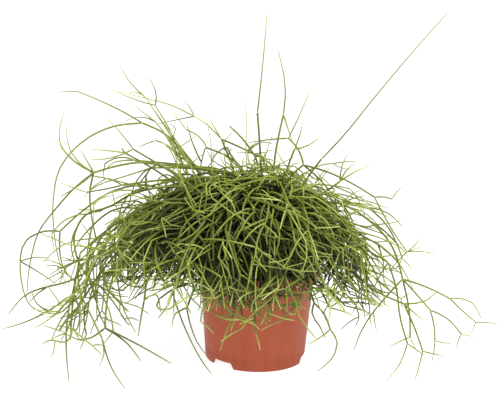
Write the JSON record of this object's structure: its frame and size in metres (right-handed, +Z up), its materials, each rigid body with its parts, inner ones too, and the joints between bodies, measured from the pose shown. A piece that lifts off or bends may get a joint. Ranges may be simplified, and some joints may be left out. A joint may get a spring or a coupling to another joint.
{
  "type": "mistletoe cactus",
  "caption": "Potted mistletoe cactus: thin round leafless stems that fork, arch out and hang in a wide mop over a round tapered nursery pot.",
  "frame": {"origin": "on the surface it stands on, under the middle of the pot", "axes": "+Z up, +X to the right of the plant seen from its front, the front towards -Y"},
  "size_m": [0.4839, 0.3699, 0.3435],
  "materials": {
    "pot": "satin moulded polypropylene in a terracotta colour",
    "soil": "rough dark peat and bark",
    "stem": "smooth waxy green skin"
  },
  "bodies": {
    "root": {"pot": "pot", "soil": "soil", "spray_east_fork": "stem", "spray_east_shelf": "stem", "spray_east_whip": "stem", "spray_east_high": "stem", "spray_crest_east": "stem", "spray_crest_front": "stem", "spray_crest_west": "stem", "spray_west_high": "stem", "spray_west_shelf": "stem", "spray_west_loop": "stem", "spray_west_low": "stem", "spray_west_bundle": "stem", "spray_west_hang": "stem", "spray_pot_west": "stem", "spray_pot_front": "stem", "spray_pot_east": "stem", "spray_east_hang": "stem", "spray_front_high": "stem", "spray_crest_back": "stem", "spray_crest_left": "stem", "spray_back_high_east": "stem", "spray_back_high_west": "stem", "spray_back_east": "stem", "spray_back": "stem", "spray_back_west": "stem"}
  },
  "joints": []
}
